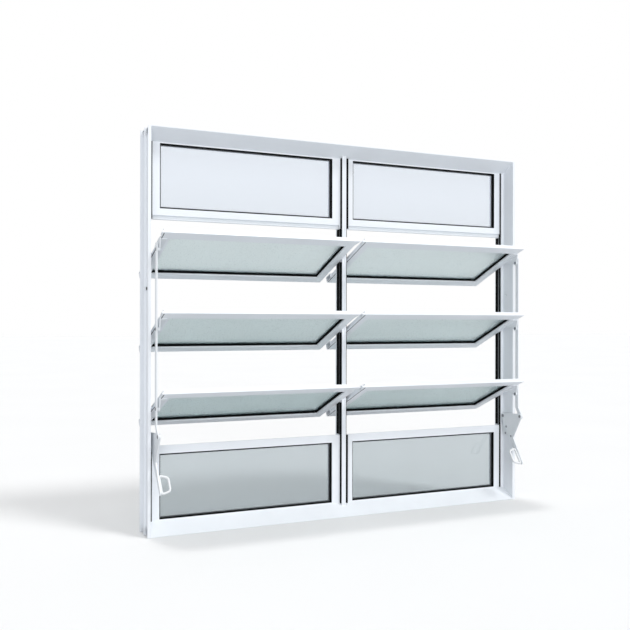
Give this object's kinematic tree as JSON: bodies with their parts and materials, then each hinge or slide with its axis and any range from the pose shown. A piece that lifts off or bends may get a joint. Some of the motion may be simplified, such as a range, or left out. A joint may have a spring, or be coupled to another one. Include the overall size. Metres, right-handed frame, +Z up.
{
  "type": "pivot window",
  "caption": "White metal window with fixed lights above and below rows of pivoted sashes, which a rod and a loop-handled lever at each jamb turn together.",
  "frame": {"origin": "on the underside of the sill, at the middle of the window's width and of the frame's depth", "axes": "+X along the width, to the right as seen from the room; +Y outdoors; +Z up"},
  "size_m": [1.108, 0.2334, 1],
  "materials": {
    "white_paint": "satin powder coat",
    "fittings": "satin powder coat on pressed fittings",
    "clear_glass": "clear",
    "obscure_glass": "frosted",
    "rubber_seal": "matt"
  },
  "bodies": {
    "frame": {"head": "white_paint", "sill": "white_paint", "left_jamb": "white_paint", "right_jamb": "white_paint", "mullion": "white_paint", "top_left_light": "white_paint", "top_right_light": "white_paint", "bottom_left_light": "white_paint", "bottom_right_light": "white_paint", "fixed_glass": "clear_glass", "fixed_gaskets": "rubber_seal", "seals": "rubber_seal", "left_lever_bracket": "fittings", "right_lever_bracket": "fittings"},
    "left_top_sash_body": {"left_top_sash": "white_paint", "left_top_glass": "obscure_glass", "left_top_gasket": "rubber_seal", "left_top_ear": "fittings"},
    "left_middle_sash_body": {"left_middle_sash": "white_paint", "left_middle_glass": "obscure_glass", "left_middle_gasket": "rubber_seal", "left_middle_ear": "fittings"},
    "left_bottom_sash_body": {"left_bottom_sash": "white_paint", "left_bottom_glass": "obscure_glass", "left_bottom_gasket": "rubber_seal", "left_bottom_ear": "fittings"},
    "left_rod_body": {"left_rod": "fittings"},
    "left_lever_body": {"left_lever": "fittings", "left_handle": "fittings"},
    "right_top_sash_body": {"right_top_sash": "white_paint", "right_top_glass": "obscure_glass", "right_top_gasket": "rubber_seal", "right_top_ear": "fittings"},
    "right_middle_sash_body": {"right_middle_sash": "white_paint", "right_middle_glass": "obscure_glass", "right_middle_gasket": "rubber_seal", "right_middle_ear": "fittings"},
    "right_bottom_sash_body": {"right_bottom_sash": "white_paint", "right_bottom_glass": "obscure_glass", "right_bottom_gasket": "rubber_seal", "right_bottom_ear": "fittings"},
    "right_rod_body": {"right_rod": "fittings"},
    "right_lever_body": {"right_lever": "fittings", "right_handle": "fittings"}
  },
  "joints": [
    {"name": "left_top_sash_turn", "type": "hinge", "parent": "frame", "child": "left_top_sash_body", "pos_m": [-0.5325, 0.0125, 0.693], "axis": [1, 0, 0], "range_deg": [-53, 12]},
    {"name": "left_middle_sash_turn", "type": "hinge", "parent": "frame", "child": "left_middle_sash_body", "pos_m": [-0.5325, 0.0125, 0.5015], "axis": [1, 0, 0], "range_deg": [-53, 12]},
    {"name": "left_bottom_sash_turn", "type": "hinge", "parent": "frame", "child": "left_bottom_sash_body", "pos_m": [-0.5325, 0.0125, 0.31], "axis": [1, 0, 0], "range_deg": [-53, 12]},
    {"name": "left_rod_turn", "type": "hinge", "parent": "left_top_sash_body", "child": "left_rod_body", "pos_m": [-0.5405, -0.064, 0.6975], "axis": [1, 0, 0], "range_deg": [-12, 53]},
    {"name": "left_lever_turn", "type": "hinge", "parent": "frame", "child": "left_lever_body", "pos_m": [-0.5372, -0.0045, 0.245], "axis": [1, 0, 0], "range_deg": [-53, 12]},
    {"name": "right_top_sash_turn", "type": "hinge", "parent": "frame", "child": "right_top_sash_body", "pos_m": [0.5325, 0.0125, 0.693], "axis": [1, 0, 0], "range_deg": [-53, 12]},
    {"name": "right_middle_sash_turn", "type": "hinge", "parent": "frame", "child": "right_middle_sash_body", "pos_m": [0.5325, 0.0125, 0.5015], "axis": [1, 0, 0], "range_deg": [-53, 12]},
    {"name": "right_bottom_sash_turn", "type": "hinge", "parent": "frame", "child": "right_bottom_sash_body", "pos_m": [0.5325, 0.0125, 0.31], "axis": [1, 0, 0], "range_deg": [-53, 12]},
    {"name": "right_rod_turn", "type": "hinge", "parent": "right_top_sash_body", "child": "right_rod_body", "pos_m": [0.5405, -0.064, 0.6975], "axis": [1, 0, 0], "range_deg": [-12, 53]},
    {"name": "right_lever_turn", "type": "hinge", "parent": "frame", "child": "right_lever_body", "pos_m": [0.5372, -0.0045, 0.245], "axis": [1, 0, 0], "range_deg": [-53, 12]}
  ],
  "couplings": [
    {"joint": "left_middle_sash_turn", "follows": "left_top_sash_turn", "ratio": 1},
    {"joint": "left_bottom_sash_turn", "follows": "left_top_sash_turn", "ratio": 1},
    {"joint": "left_rod_turn", "follows": "left_top_sash_turn", "ratio": -1},
    {"joint": "left_lever_turn", "follows": "left_top_sash_turn", "ratio": 1},
    {"joint": "right_middle_sash_turn", "follows": "right_top_sash_turn", "ratio": 1},
    {"joint": "right_bottom_sash_turn", "follows": "right_top_sash_turn", "ratio": 1},
    {"joint": "right_rod_turn", "follows": "right_top_sash_turn", "ratio": -1},
    {"joint": "right_lever_turn", "follows": "right_top_sash_turn", "ratio": 1}
  ]
}
